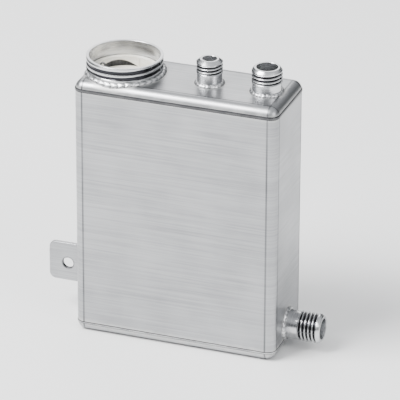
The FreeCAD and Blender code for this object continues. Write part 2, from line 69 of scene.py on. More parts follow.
TANK_LOW, TANK_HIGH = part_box("tank_body")
TANK_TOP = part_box("top_cap")[1].z
TANK_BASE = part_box("bottom_cap")[0].z
TOP_SEAM_Z = sum(corner.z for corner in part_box("top_seam_weld")) / 2
BOTTOM_SEAM_Z = sum(corner.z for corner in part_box("bottom_seam_weld")) / 2
EDGE_RADIUS = TANK_TOP - TOP_SEAM_Z
SKIN_MIDDLE = Vector((0, 0, (TANK_TOP + TANK_BASE) / 2))
# Half the size of the skin, and of the sharp-cornered core that lies EDGE_RADIUS inside it.
SKIN_HALF = Vector((TANK_HIGH.x, TANK_HIGH.y, (TANK_TOP - TANK_BASE) / 2))
SKIN_CORE = SKIN_HALF - EDGE_RADIUS * (X + Y + Z)


def nearest_core(point):
    """The point of the core that is nearest to a point."""
    away = point - SKIN_MIDDLE
    return SKIN_MIDDLE + Vector(max(-c, min(c, a)) for a, c in zip(away, SKIN_CORE))


def skin_normal(point):
    return (point - nearest_core(point)).normalized()


def settle(point):
    """Moves a point near the tank onto its outer skin."""
    core = nearest_core(point)
    return core + (point - core).normalized() * EDGE_RADIUS


def skin_height(x, y):
    """Height of the tank's top side above a point of its plan."""
    across = math.hypot(max(abs(x) - SKIN_CORE.x, 0), max(abs(y) - SKIN_CORE.y, 0))
    return TANK_TOP - EDGE_RADIUS + math.sqrt(max(EDGE_RADIUS ** 2 - across ** 2, 0))


# ---------------------------------------------------------------- mesh helpers

MERGE_DISTANCE = 1e-6
SLIVER_DISTANCE = 1e-7
ROUND_STEPS = 3
PLATE_EDGE_STEPS = 3
HOLE_STEPS = 48

# Faces that meet at more degrees than this keep a crisp edge between them.
SHARP_TURNED = 28
SHARP_PLATE = 30
SHARP_FRAME = 35
SHARP_DISC = 40
SHARP_BEAD = 50
SHARP_WIRE = 60


def new_piece(name, points, faces, sharp, shade_and_soot=None):
    """A piece from points and faces.

    Each point may carry a darkening from 0 to 1: painted shade where it lies deep in a groove or crease,
    and soot on a weld.
    """
    mesh = bpy.data.meshes.new(name)
    mesh.from_pydata([tuple(p) for p in points], [], faces)
    if shade_and_soot:
        mesh.attributes.new("shade_and_soot", "FLOAT", "POINT").data.foreach_set("value", shade_and_soot)
    return place_mesh(name, mesh, sharp)


def place_mesh(name, mesh, sharp):
    """Cleans a mesh, shades it smooth between faces that are not sharp, and puts it in the scene."""
    work = bmesh.new()
    work.from_mesh(mesh)
    bmesh.ops.remove_doubles(work, verts=work.verts, dist=MERGE_DISTANCE)
    bmesh.ops.dissolve_degenerate(work, edges=work.edges, dist=SLIVER_DISTANCE)
    bmesh.ops.recalc_face_normals(work, faces=work.faces)
    work.to_mesh(mesh)
    work.free()
    mesh.polygons.foreach_set("use_smooth", [True] * len(mesh.polygons))
    mesh.set_sharp_from_angle(angle=math.radians(sharp))
    piece = bpy.data.objects.new(name, mesh)
    bpy.context.scene.collection.objects.link(piece)
    return piece


def tube_faces(rows, columns, close_rows=True):
    """Quads between rows of points. Each row is a loop of that many columns.

    When the last row doesn't join the first one, each open end gets a cap.
    """
    faces = []
    for i in range(rows if close_rows else rows - 1):
        a, b = i * columns, (i + 1) % rows * columns
        for j in range(columns):
            k = (j + 1) % columns
            faces.append((a + j, a + k, b + k, b + j))
    if not close_rows:
        faces += [tuple(range(columns)), tuple(range((rows - 1) * columns, rows * columns))]
    return faces


def lathe(name, outline_at, steps, frame_matrix, sharp):
    """A ring-shaped solid. outline_at(angle) gives its closed outline there.

    A point of the outline is (radius, height) or (radius, height, darkening), where the darkening is
    painted shade from 0 to 1.
    """
    points, shade_and_soot = [], []
    for i in range(steps):
        angle = TURN * i / steps
        outline = outline_at(angle)
        for r, h, *deep in outline:
            points.append(frame_matrix @ Vector((r * math.cos(angle), r * math.sin(angle), h)))
            shade_and_soot.append(deep[0] if deep else 0.0)
    return new_piece(name, points, tube_faces(steps, len(outline)), sharp, shade_and_soot)


def axis_frame(origin, axis):
    """A matrix that takes local +Z to an axis. Local +X goes to +X, or to -Y if the axis lies flat."""
    side = X if abs(axis.z) > 0.5 else -Y
    turn = Matrix((side, axis.cross(side), axis)).transposed().to_4x4()
    return Matrix.Translation(origin) @ turn


def curve_point(start, corner, end, t):
    """A point of the curve from a start to an end that bends towards a corner. T goes from 0 to 1."""
    return start * (1 - t) ** 2 + corner * 2 * t * (1 - t) + end * t ** 2


def rounded(corner, before, after, radius):
    """An outline's corner as a short curve between the runs before and after it."""
    corner, before, after = Vector(corner), Vector(before), Vector(after)
    start = corner + (before - corner).normalized() * radius
    end = corner + (after - corner).normalized() * radius
    return [tuple(curve_point(start, corner, end, i / ROUND_STEPS)) for i in range(ROUND_STEPS + 1)]


def arc(middle, radius, start, end, steps):
    """Points of an arc between two angles in degrees."""
    turns = [math.radians(start + (end - start) * i / steps) for i in range(steps + 1)]
    return [(middle[0] + radius * math.cos(t), middle[1] + radius * math.sin(t)) for t in turns]


def smoothstep(x):
    """Rises smoothly from 0 to 1 while x does."""
    x = max(0, min(1, x))
    return x * x * (3 - 2 * x)


def upright_plate(name, outline, holes, low_y, high_y, edge):
    """A plate that stands in X-Z, from its outline and its round holes (middle, radius).

    Edge is the radius that its outer edges and its holes' edges are rounded to.
    """
    curve = bpy.data.curves.new(name, "CURVE")
    curve.dimensions = "2D"
    curve.fill_mode = "BOTH"
    curve.extrude = (high_y - low_y) / 2 - edge
    curve.bevel_depth = edge
    curve.bevel_resolution = PLATE_EDGE_STEPS
    curve.offset = -edge
    circles = [arc(middle, radius, 0, -360, HOLE_STEPS)[:-1] for middle, radius in holes]
    for loop in [outline] + circles:
        spline = curve.splines.new("POLY")
        spline.points.add(len(loop) - 1)
        for point, (across, up) in zip(spline.points, loop):
            point.co = (across, up, 0, 1)
        spline.use_cyclic_u = True
    holder = bpy.data.objects.new(name + "_curve", curve)
    bpy.context.scene.collection.objects.link(holder)
    bpy.context.view_layer.update()
    mesh = bpy.data.meshes.new_from_object(holder)
    stand_up = Matrix((X, Z, -Y)).transposed().to_4x4()
    mesh.transform(Matrix.Translation((0, (low_y + high_y) / 2, 0)) @ stand_up)
    bpy.data.objects.remove(holder)
    return place_mesh(name, mesh, SHARP_PLATE)


def finish_piece(piece, material, body, slot, *nodes):
    """Gives a piece its finish and its body, and hides the CAD nodes that it stands for. Its slot is not
    used.
    """
    piece.data.materials.clear()
    piece.data.materials.append(material)
    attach(piece, body)
    if nodes:
        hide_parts(*nodes)


# ---------------------------------------------------------------- materials

METAL, NOT_METAL = 1, 0


class Shader:
    """A material made of nodes, read from the piece's own coordinates."""

    def __init__(self, name, metallic):
        self.material = bpy.data.materials.new(name)
        self.material.use_nodes = True
        self.tree = self.material.node_tree
        self.surface = self.tree.nodes["Principled BSDF"]
        self.surface.inputs["Metallic"].default_value = metallic
        self.place = self.node("ShaderNodeTexCoord").outputs["Object"]

    def node(self, kind, **settings):
        made = self.tree.nodes.new(kind)
        for key, value in settings.items():
            setattr(made, key, value)
        return made

    def link(self, source, target):
        self.tree.links.new(source, target)

    def noise(self, scale, detail, stretch=(1, 1, 1), roughness=0.5):
        mapping = self.node("ShaderNodeMapping")
        mapping.inputs["Scale"].default_value = stretch
        self.link(self.place, mapping.inputs["Vector"])
        noise = self.node("ShaderNodeTexNoise")
        noise.inputs["Scale"].default_value = scale
        noise.inputs["Detail"].default_value = detail
        noise.inputs["Roughness"].default_value = roughness
        self.link(mapping.outputs["Vector"], noise.inputs["Vector"])
        return noise.outputs["Fac"]

    def split(self):
        """The X, Y and Z of a point."""
        made = self.node("ShaderNodeSeparateXYZ")
        self.link(self.place, made.inputs["Vector"])
        return made.outputs

    def along(self, axis):
        """Distance of a point from the origin along an axis."""
        made = self.node("ShaderNodeVectorMath", operation="DOT_PRODUCT")
        made.inputs[1].default_value = axis
        self.link(self.place, made.inputs[0])
        return made.outputs["Value"]

    def reach(self, centre, axis):
        """Distance of a point from the line that runs through a centre along an axis."""
        flat = self.node("ShaderNodeVectorMath", operation="MULTIPLY")
        flat.inputs[1].default_value = X + Y + Z - axis
        self.link(self.place, flat.inputs[0])
        away = self.node("ShaderNodeVectorMath", operation="DISTANCE")
        away.inputs[1].default_value = centre - axis * centre.dot(axis)
        self.link(flat.outputs["Vector"], away.inputs[0])
        return away.outputs["Value"]

    def attribute(self, name):
        """A value that the mesh carries. It is 0 on a piece that has none."""
        return self.node("ShaderNodeAttribute", attribute_name=name).outputs["Fac"]

    def remap(self, value, span, to):
        """Goes from one end of `to` to the other while a value crosses a span, and stops there."""
        made = self.node("ShaderNodeMapRange")
        for key, number in zip(("From Min", "From Max", "To Min", "To Max"), (*span, *to)):
            made.inputs[key].default_value = number
        self.link(value, made.inputs["Value"])
        return made.outputs["Result"]

    def math(self, operation, a, b=None):
        made = self.node("ShaderNodeMath", operation=operation)
        for socket, value in zip(made.inputs, (a, b)):
            if isinstance(value, (int, float)):
                socket.default_value = value
            elif value is not None:
                self.link(value, socket)
        return made.outputs[0]

    def gap(self, value, number):
        """How far a value is from a number."""
        return self.math("ABSOLUTE", self.math("SUBTRACT", value, number))

    def blend_colors(self, factor, first, second):
        made = self.node("ShaderNodeMix", data_type="RGBA")
        self.link(factor, made.inputs["Factor"])
        for socket, color in ((made.inputs[6], first), (made.inputs[7], second)):
            if isinstance(color, tuple):
                socket.default_value = (*color, 1)
            else:
                self.link(color, socket)
        return made.outputs[2]

    def tones(self, value, span, pair):
        """A color that goes from one of a pair to the other while a value crosses a span."""
        return self.blend_colors(self.remap(value, span, (0, 1)), *pair)

    def bump(self, height, strength, distance, under=None):
        made = self.node("ShaderNodeBump")
        made.inputs["Strength"].default_value = strength
        made.inputs["Distance"].default_value = distance
        self.link(height, made.inputs["Height"])
        if under is not None:
            self.link(under, made.inputs["Normal"])
        return made.outputs["Normal"]

    def use(self, color, roughness=None, normal=None):
        for key, value in (("Base Color", color), ("Roughness", roughness), ("Normal", normal)):
            if value is not None:
                self.link(value, self.surface.inputs[key])
        return self.material


# Spans of a noise's value. Few of its points lie outside the wide one.
WIDE_SPAN = (0.3, 0.7)
MIDDLE_SPAN = (0.35, 0.65)

# Here and below, a noise is (scale, detail), a bump is (strength, distance), and rates are how
# fast a noise changes along X, Y and Z.
SHEET_TONES = (0.31, 0.315, 0.325), (0.43, 0.435, 0.445)
SHEET_ROUGHNESS = (0.44, 0.30)
SHEET_STREAK = (1, 3)
SHEET_STREAK_ROUGHNESS = 0.6
SHEET_STREAK_SHARE = 0.6
SHEET_CLOUD = (28, 3)
SHEET_CLOUD_SHARE = 0.4
SHEET_SAG = (9, 1)
SHEET_SAG_BUMP = (0.35, 1.5 * MM)
SHEET_STREAK_BUMP = (0.12, 0.03 * MM)
# A mark keeps its full strength this far from its middle line, or from the hole's edge.
MARK_CORE = 0.1 * MM


def sheet_aluminium(name, grain, *marks):
    """Rolled sheet with a fine grain. Grain is how fast it changes along X, Y and Z.

    A mark is (how strongly a point shows it, its color, how much rougher it is).
    """
    shader = Shader(name, METAL)
    streak = shader.noise(*SHEET_STREAK, grain, SHEET_STREAK_ROUGHNESS)
    cloud = shader.noise(*SHEET_CLOUD)
    streak_part = shader.math("MULTIPLY", streak, SHEET_STREAK_SHARE)
    cloud_part = shader.math("MULTIPLY", cloud, SHEET_CLOUD_SHARE)
    tint = shader.math("ADD", streak_part, cloud_part)
    color = shader.tones(tint, MIDDLE_SPAN, SHEET_TONES)
    roughness = shader.remap(tint, WIDE_SPAN, SHEET_ROUGHNESS)
    for strength_of, mark_color, rougher in marks:
        strength = strength_of(shader)
        color = shader.blend_colors(strength, color, mark_color)
        if rougher:
            roughness = shader.math("ADD", shader.math("MULTIPLY", strength, rougher), roughness)
    sag = shader.bump(shader.noise(*SHEET_SAG), *SHEET_SAG_BUMP)
    return shader.use(color, roughness, shader.bump(streak, *SHEET_STREAK_BUMP, sag))


# Painted shade: thin dark lines along the tangents where the tank's flat sides turn into its rounded
# edges, standing in for dark edges that the lights don't give.
EDGE_SHADE_COLOR = (0.05, 0.052, 0.056)
EDGE_SHADE_HALF = 1.0 * MM
EDGE_SHADE_SHARE = 0.85
EDGE_SHADE_BREAKUP = (30, 2)
EDGE_SHADE_BREAKUP_SPAN = (0.3, 0.6)
EDGE_SHADE_BREAKUP_SHARES = (0.7, 1)


def painted_edge_shade(shader):
    """How strongly a point shows painted shade: dark lines where the tank's flat sides turn into its
    edges, broken up by a noise.
    """
    place = shader.split()
    marks = []
    for axis, edge in (("X", SKIN_CORE.x), ("Y", SKIN_CORE.y)):
        gap = shader.gap(shader.math("ABSOLUTE", place[axis]), edge)
        marks.append(shader.remap(gap, (MARK_CORE, EDGE_SHADE_HALF), (EDGE_SHADE_SHARE, 0)))
    broken_up = shader.remap(shader.noise(*EDGE_SHADE_BREAKUP), EDGE_SHADE_BREAKUP_SPAN, EDGE_SHADE_BREAKUP_SHARES)
    return shader.math("MULTIPLY", shader.math("MAXIMUM", *marks), broken_up)


HALO_COLOR = (0.56, 0.56, 0.55)
HALO_WIDTH = 2.4 * MM
HALO_SHARE = 0.75
HALO_ROUGHER = 0.24
HALO_WANDER = (160, 3)
HALO_WANDER_REACH = 0.8 * MM
HALO_SEAM_HALF = 1.0 * MM

# Radius that each round weld covers, from the axis of the mount that it surrounds.
ROUND_WELDS = {"filler_neck_thread": 30.6 * MM, "return_port_thread": 12.8 * MM,
               "vent_port_thread": 11.2 * MM, "suction_port_thread": 12.8 * MM}


def weld_halo(shader):
    """How strongly a point shows the frosted band that a weld leaves on the sheet beside it."""
    height = shader.split()["Z"]
    gaps = []
    for seam in (TOP_SEAM_Z, BOTTOM_SEAM_Z):
        gaps.append(shader.math("SUBTRACT", shader.gap(height, seam), HALO_SEAM_HALF))
    for mount_name, radius in ROUND_WELDS.items():
        axis, centre = (Vector(MOUNTS[mount_name][key]) for key in ("axis", "pos_m"))
        side_from = TANK_HIGH.x - EDGE_RADIUS if axis.x else TOP_SEAM_Z
        below = shader.math("SUBTRACT", side_from, shader.along(axis))
        away = shader.math("SUBTRACT", shader.reach(centre, axis), radius)
        gaps.append(shader.math("MAXIMUM", away, below))
    nearest = gaps[0]
    for gap in gaps[1:]:
        nearest = shader.math("MINIMUM", nearest, gap)
    wander = shader.remap(shader.noise(*HALO_WANDER), WIDE_SPAN, (-HALO_WANDER_REACH, HALO_WANDER_REACH))
    return shader.remap(shader.math("ADD", nearest, wander), (0, HALO_WIDTH), (HALO_SHARE, 0))


# Painted shade in the tab's bolt hole and a thin dark ring round its edge.
HOLE_SHADE_COLOR = (0.07, 0.07, 0.075)
HOLE_SHADE_WIDTH = 1.2 * MM
HOLE_SHADE_SHARE = 0.9


def hole_shade(shader):
    """How strongly a point shows painted shade on the tab's hole: dark on its wall, running out into a
    thin ring round its edge.
    """
    hole = MOUNTS["tab_hole"]
    radius = hole["dims"]["r_mm"] * MM
    away = shader.reach(Vector(hole["pos_m"]), Y)
    return shader.remap(away, (radius + MARK_CORE, radius + HOLE_SHADE_WIDTH), (HOLE_SHADE_SHARE, 0))


TURNED_TONES = (0.52, 0.525, 0.535), (0.64, 0.645, 0.655)
TURNED_ROUGHNESS = (0.19, 0.31)
TURNED_RINGS = (1, 2)
TURNED_RING_RATE = 2600
TURNED_LONG_RATE = 6
TURNED_CLOUD = (60, 2)
TURNED_BUMP = (0.15, 0.02 * MM)
# Painted shade: a thread is darkened towards the roots of its grooves, where shade falls.
GROOVE_SHADE_COLOR = (0.03, 0.03, 0.034)
GROOVE_SHADE_SPAN = (0.1, 0.75)


def turned_aluminium(name, axis):
    """Machined stock with fine rings about an axis, and painted shade in its grooves."""
    shader = Shader(name, METAL)
    rates = tuple(TURNED_RING_RATE * a + TURNED_LONG_RATE * (1 - a) for a in axis)
    rings = shader.noise(*TURNED_RINGS, rates)
    clean = shader.tones(shader.noise(*TURNED_CLOUD), MIDDLE_SPAN, TURNED_TONES)
    color = shader.tones(shader.attribute("shade_and_soot"), GROOVE_SHADE_SPAN, (clean, GROOVE_SHADE_COLOR))
    roughness = shader.remap(rings, WIDE_SPAN, TURNED_ROUGHNESS)
    return shader.use(color, roughness, shader.bump(rings, *TURNED_BUMP))


WELD_TONES = (0.46, 0.465, 0.475), (0.74, 0.745, 0.75)
WELD_ROUGHNESS = (0.26, 0.44)
WELD_GRAIN = (900, 3)
WELD_PATCH = (140, 2)
WELD_BUMP = (0.25, 0.04 * MM)
SOOT_AND_SHADE_COLOR = (0.03, 0.03, 0.033)


def weld_aluminium():
    """Cast-like bead metal: bright crests with a dull skin, darkened by soot and by painted shade in its
    creases and along its edges.
    """
    shader = Shader("weld_aluminium", METAL)
    grain = shader.noise(*WELD_GRAIN)
    clean = shader.tones(shader.noise(*WELD_PATCH), MIDDLE_SPAN, WELD_TONES)
    color = shader.blend_colors(shader.attribute("shade_and_soot"), clean, SOOT_AND_SHADE_COLOR)
    roughness = shader.remap(grain, WIDE_SPAN, WELD_ROUGHNESS)
    return shader.use(color, roughness, shader.bump(grain, *WELD_BUMP))


MILL_TONES = (0.40, 0.40, 0.395), (0.56, 0.565, 0.57)
MILL_ROUGHNESS = (0.3, 0.5)
MILL_GRAIN = (1, 3)
MILL_GRAIN_RATES = (14, 700, 14)
MILL_FILM = (40, 3)


def mill_aluminium():
    """Plain inner metal as it comes from the mill, with a film of old oil."""
    shader = Shader("mill_aluminium", METAL)
    grain = shader.noise(*MILL_GRAIN, MILL_GRAIN_RATES)
    color = shader.tones(shader.noise(*MILL_FILM), MIDDLE_SPAN, MILL_TONES)
    return shader.use(color, shader.remap(grain, WIDE_SPAN, MILL_ROUGHNESS))


def dark_steel(name, noise, span, tones, roughness):
    """Dark steel. Its noise moves it between two tones and two roughnesses."""
    shader = Shader(name, METAL)
    patches = shader.noise(*noise)
    color = shader.tones(patches, span, tones)
    return shader.use(color, shader.remap(patches, WIDE_SPAN, roughness))


ZINC_TONES = (0.16, 0.165, 0.175), (0.26, 0.26, 0.27)
ZINC_ROUGHNESS = (0.28, 0.42)
ZINC_SPANGLE = (320, 2)
ZINC_SPAN = (0.4, 0.6)
# Painted shade: the wire cloth is darkened as if it lay in the shade inside the neck.
WIRE_SHADE_TONES = (0.09, 0.09, 0.094), (0.18, 0.18, 0.187)
WIRE_ROUGHNESS = (0.28, 0.44)
WIRE_DRAWN = (700, 2)

PLASTIC_TONES = (0.72, 0.685, 0.60), (0.84, 0.825, 0.77)
PLASTIC_ROUGHNESS = (0.38, 0.5)
PLASTIC_FLOW = (120, 3)
PLASTIC_FLOW_RATES = (1, 1, 3)
PLASTIC_GRAIN = (1500, 2)
PLASTIC_BUMP = (0.1, 0.02 * MM)


def natural_plastic():
    """Moulded nylon in its own off-white, with flow marks and a faint oil stain."""
    shader = Shader("natural_plastic", NOT_METAL)
    flow = shader.noise(*PLASTIC_FLOW, PLASTIC_FLOW_RATES)
    color = shader.tones(flow, MIDDLE_SPAN, PLASTIC_TONES)
    roughness = shader.remap(flow, WIDE_SPAN, PLASTIC_ROUGHNESS)
    return shader.use(color, roughness, shader.bump(shader.noise(*PLASTIC_GRAIN), *PLASTIC_BUMP))


BODY_GRAIN_RATES = (14, 14, 900)
CAP_GRAIN_RATES = (14, 900, 900)
HALO = weld_halo, HALO_COLOR, HALO_ROUGHER
# Painted shade: dark lines along the tank's rounded edges.
EDGE_SHADE = painted_edge_shade, EDGE_SHADE_COLOR, 0
# Painted shade in the tab's hole and round its edge.
HOLE_SHADE_MARK = hole_shade, HOLE_SHADE_COLOR, 0
BODY_SHEET = sheet_aluminium("body_sheet", BODY_GRAIN_RATES, HALO, EDGE_SHADE)
CAP_SHEET = sheet_aluminium("cap_sheet", CAP_GRAIN_RATES, HALO, EDGE_SHADE)
TAB_SHEET = sheet_aluminium("tab_sheet", BODY_GRAIN_RATES, HOLE_SHADE_MARK)
TURNED_UP = turned_aluminium("turned_upright", Z)
TURNED_ACROSS = turned_aluminium("turned_across", X)
WELD = weld_aluminium()
MILL = mill_aluminium()
ZINC = dark_steel("zinc_plate", ZINC_SPANGLE, ZINC_SPAN, ZINC_TONES, ZINC_ROUGHNESS)
WIRE = dark_steel("shaded_steel_wire", WIRE_DRAWN, MIDDLE_SPAN, WIRE_SHADE_TONES, WIRE_ROUGHNESS)
PLASTIC = natural_plastic()


# ---------------------------------------------------------------- threads and stubs

# Half a thread's section, from the middle of its crest: (share of the pitch, share of the depth).
V_SECTION = [(0.0, 0.0), (0.05, 0.0), (0.085, 0.05), (0.36, 0.95), (0.40, 1.0)]
ROUND_SECTION = [(0.0, 0.0), (0.09, 0.0), (0.135, 0.06), (0.27, 0.92), (0.31, 1.0), (0.4, 1.0)]

# Low and high are where a thread ends, start is the share of a turn that it is shifted by, and
# fade is how many pitches it takes to fade out at its low end and at its high end.
Thread = namedtuple("Thread", "low high pitch crest depth section fade start")


def whole_section(half):
    """Mirrors half a thread's section about the middle of its valley."""
    return half + [(0.5, 1.0)] + [(1 - at, deep) for at, deep in reversed(half[1:])]


def helix_rows(angle, thread):
    """Outline points up a right-hand thread at one angle."""
    low, high, pitch = thread.low, thread.high, thread.pitch
    fade_low, fade_high = (share * pitch for share in thread.fade)
    turns = int((high - low) / pitch) + 3
    rows = []
    for k in range(-1, turns):
        for at, deep in whole_section(thread.section):
            height = low + pitch * (k - 1 + at + thread.start + angle / TURN)
            height = max(low, min(high, height))
            share = smoothstep((height - low) / fade_low) * smoothstep((high - height) / fade_high)
            # The third value is painted shade, as deep as the thread's valley is at this point.
            rows.append((thread.crest - thread.depth * deep * share, height, deep * share))
    return rows


# Radii, pitch and socket (radius, depth) in millimetres. Seed is for the stub's weld bead.
STUBS = {
    "return": {"bore": 7.75, "shank": 10.7, "nose": 9.4, "pitch": 2.822, "socket": (9.0, 3.0),
               "seed": 11},
    "vent": {"bore": 5.2, "shank": 9.15, "nose": 6.8, "pitch": 2.54, "socket": None, "seed": 12},
    "suction": {"bore": 7.75, "shank": 10.7, "nose": 9.4, "pitch": 2.822, "socket": None, "seed": 13},
}
STUB_THREAD_SHARE = 0.6134
STUB_FADE = (0.5, 0.3)
STUB_NOSE_ROUND = 0.5 * MM
STUB_MOUTH_ROUND = 0.45 * MM
STUB_STEPS = 144


def stub_mount(label):
    """The thread mount of a stub, its axis and its middle."""
    mount = MOUNTS[f"{label}_port_thread"]
    return mount, Vector(mount["axis"]), Vector(mount["pos_m"])


def make_stub(label, facts):
    """A weld-in stub with a rolled helical thread, a tapered nose and a rounded mouth."""
    mount, axis, middle = stub_mount(label)
    node = f"{label}_port"
    low, high = (corner.dot(axis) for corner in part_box(node))
    foot = middle + axis * (low - middle.dot(axis))
    crest = mount["dims"]["r_mm"] * MM
    thread_low = middle.dot(axis) - low - mount["dims"]["length_mm"] * MM / 2
    thread_high = thread_low + mount["dims"]["length_mm"] * MM
    height = high - low
    bore, shank, nose, pitch = (facts[key] * MM for key in ("bore", "shank", "nose", "pitch"))
    thread = Thread(thread_low, thread_high, pitch, crest, STUB_THREAD_SHARE * pitch, V_SECTION,
                    STUB_FADE, 0.0)
    inner = [(bore, 0)]
    if facts["socket"]:
        wide, deep = (size * MM for size in facts["socket"])
        inner = [(bore, deep), (wide, deep), (wide, 0)]
    shoulder, tip, lip = (crest, thread_high), (nose, height), (bore, height)
    mouth = rounded(tip, shoulder, lip, STUB_NOSE_ROUND) + rounded(lip, tip, inner[0], STUB_MOUTH_ROUND)

    def outline(angle):
        return [*inner, (shank, 0), (shank, thread_low - (crest - shank)),
                *helix_rows(angle, thread), *mouth]

    piece = lathe(f"{label}_stub", outline, STUB_STEPS, axis_frame(foot, axis), SHARP_TURNED)
    material = TURNED_UP if axis.z else TURNED_ACROSS
    finish_piece(piece, material, "tank", "machined_aluminium", node)


for label, facts in STUBS.items():
    make_stub(label, facts)


NECK_MOUNT = MOUNTS["filler_neck_thread"]
NECK_X = NECK_MOUNT["pos_m"][0]
NECK_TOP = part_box("filler_neck")[1].z
NECK_CREST = NECK_MOUNT["dims"]["r_mm"] * MM
NECK_COLLAR = 27.4 * MM
NECK_BORE = 25.8 * MM
NECK_THREAD = Thread(low=NECK_TOP - 9.7 * MM, high=NECK_TOP - 0.5 * MM, pitch=4.4 * MM,
                     crest=NECK_CREST, depth=1.1 * MM, section=ROUND_SECTION, fade=(0.2, 0.25),
                     start=0.06)
# Below the thread the collar steps out by RUNOUT_OUT, between these two depths.
RUNOUT_LOW = 0.5 * MM
RUNOUT_HIGH = 0.2 * MM
RUNOUT_OUT = 0.25 * MM
NECK_STEPS = 288
NECK_SUNK = 0.4 * MM
NECK_RIM_STEP = 0.1 * MM
NECK_RIM_ROUND = 0.35 * MM
NECK_MOUTH_ROUND = 0.45 * MM


def neck_point(radius, angle, height):
    """A point that far from the neck's axis."""
    return Vector((NECK_X + radius * math.cos(angle), radius * math.sin(angle), height))


def make_neck():
    """The filler neck, with a coarse helical thread. Its foot follows the rounded end of the tank."""
    def foot(radius, angle):
        across, back = NECK_X + radius * math.cos(angle), radius * math.sin(angle)
        return radius, skin_height(across, back) - NECK_SUNK

    below = NECK_TOP - MM
    rim = rounded((NECK_CREST - NECK_RIM_STEP, NECK_TOP), (NECK_CREST, below),
                  (NECK_BORE, NECK_TOP), NECK_RIM_ROUND)
    mouth = rounded((NECK_BORE, NECK_TOP), (NECK_CREST, NECK_TOP), (NECK_BORE, below), NECK_MOUTH_ROUND)

    def outline(angle):
        return [foot(NECK_BORE, angle), foot(NECK_COLLAR, angle),
                (NECK_COLLAR, NECK_THREAD.low - RUNOUT_LOW),
                (NECK_COLLAR + RUNOUT_OUT, NECK_THREAD.low - RUNOUT_HIGH),
                *helix_rows(angle, NECK_THREAD), *rim, *mouth]

    piece = lathe("neck_turned", outline, NECK_STEPS, Matrix.Translation((NECK_X, 0, 0)), SHARP_TURNED)
    finish_piece(piece, TURNED_UP, "tank", "machined_aluminium", "filler_neck")


make_neck()


# ---------------------------------------------------------------- weld beads

BEAD_STEPS = 10
BEAD_ACROSS = 12
BEAD_SUNK = 0.3 * MM
# A bead's section is a curve whose corner lies this share of the legs away from the root.
BEAD_CROWN = 0.66
# How far ahead of its edges the middle of a bead runs, in puddles.
BEAD_CRESCENT = 0.35
BEAD_RIPPLE = 0.16
BEAD_SIZES = (0.92, 1.08)
BEAD_LEAST_LEG = 0.94
BEAD_LEG_SWELL = 0.09
# Painted shade: a bead is darkened in the creases between its puddles and along its toes.
BEAD_TOE_SHADE = 0.8
BEAD_SHADE_POWER = 1.3


def bead_bump(phase):
    """Profile of one puddle along the bead: a dome, with a crease where the next one starts."""
    t = phase - math.floor(phase)
    return math.sqrt(max(1 - (2 * t - 1) ** 2, 0))


def weld_bead(name, stations, legs, seed, ripple=BEAD_RIPPLE):
    """A closed fillet bead of overlapping puddles.

    A station is (root, along the sheet, along the stub). BEAD_STEPS stations make one puddle.
    """
    chance = random.Random(seed)
    puddles = len(stations) // BEAD_STEPS
    size = [chance.uniform(*BEAD_SIZES) for _ in range(puddles)]
    points, shade_and_soot = [], []
    for i, (root, sheetward, stubward) in enumerate(stations):
        middle = i / BEAD_STEPS
        swell = BEAD_LEAST_LEG + BEAD_LEG_SWELL * bead_bump(middle)
        toe = settle(root + sheetward * legs[0] * swell)
        head = root + stubward * legs[1] * swell
        outward = (sheetward + stubward).normalized()
        control = root + (sheetward * legs[0] + stubward * legs[1]) * BEAD_CROWN
        for j in range(BEAD_ACROSS + 1):
            u = j / BEAD_ACROSS
            phase = middle - BEAD_CRESCENT * 4 * u * (1 - u)
            puddle = size[int(math.floor(phase)) % puddles]
            dome = math.sqrt(max(4 * u * (1 - u), 0))
            lift = ripple * min(legs) * puddle * bead_bump(phase) * dome
            points.append(curve_point(toe, control, head, u) + outward * lift)
            # Painted shade at the toes and in the creases between puddles.
            edge_shade = BEAD_TOE_SHADE if j in (0, BEAD_ACROSS) else 0
            shade_and_soot.append(max(1 - bead_bump(phase), edge_shade) ** BEAD_SHADE_POWER)
        down = -skin_normal(toe)
        hidden = [head - sheetward * BEAD_SUNK,
                  root - sheetward * BEAD_SUNK + down * BEAD_SUNK,
                  toe + down * BEAD_SUNK]
        points += hidden
        shade_and_soot += [1.0] * len(hidden)
    columns = BEAD_ACROSS + 1 + len(hidden)
    return new_piece(name, points, tube_faces(len(stations), columns), SHARP_BEAD, shade_and_soot)


def ring_angles(radius, period):
    """Angles of the stations of a round bead whose puddles come once in a period."""
    count = round(TURN * radius / period) * BEAD_STEPS
    return [TURN * i / count for i in range(count)]


def port_stations(centre, axis, radius, period):
    """Stations round a stub that stands on a flat side of the tank."""
    matrix = axis_frame(centre, axis).to_3x3()
    stations = []
    for angle in ring_angles(radius, period):
        outward = matrix @ Vector((math.cos(angle), math.sin(angle), 0))
        stations.append((centre + outward * radius, outward, axis))
    return stations


def neck_stations(radius, period):
    """Stations round the neck's foot, where it meets the rounded end of the tank."""
    stations = []
    for angle in ring_angles(radius, period):
        outward = Vector((math.cos(angle), math.sin(angle), 0))
        root = Vector((NECK_X, 0, 0)) + outward * radius
        root.z = skin_height(root.x, root.y)
        normal = skin_normal(root)
        stations.append((root, (outward - normal * outward.dot(normal)).normalized(), Z))
    return stations


# Legs are how far a bead reaches along the sheet and up the stub.
PORT_BEAD_LEGS = (1.9 * MM, 2.0 * MM)
PORT_BEAD_PERIOD = 2.9 * MM
NECK_BEAD_LEGS = (3.0 * MM, 1.9 * MM)
NECK_BEAD_PERIOD = 4.9 * MM
NECK_BEAD_RIPPLE = 0.3
NECK_BEAD_SEED = 14


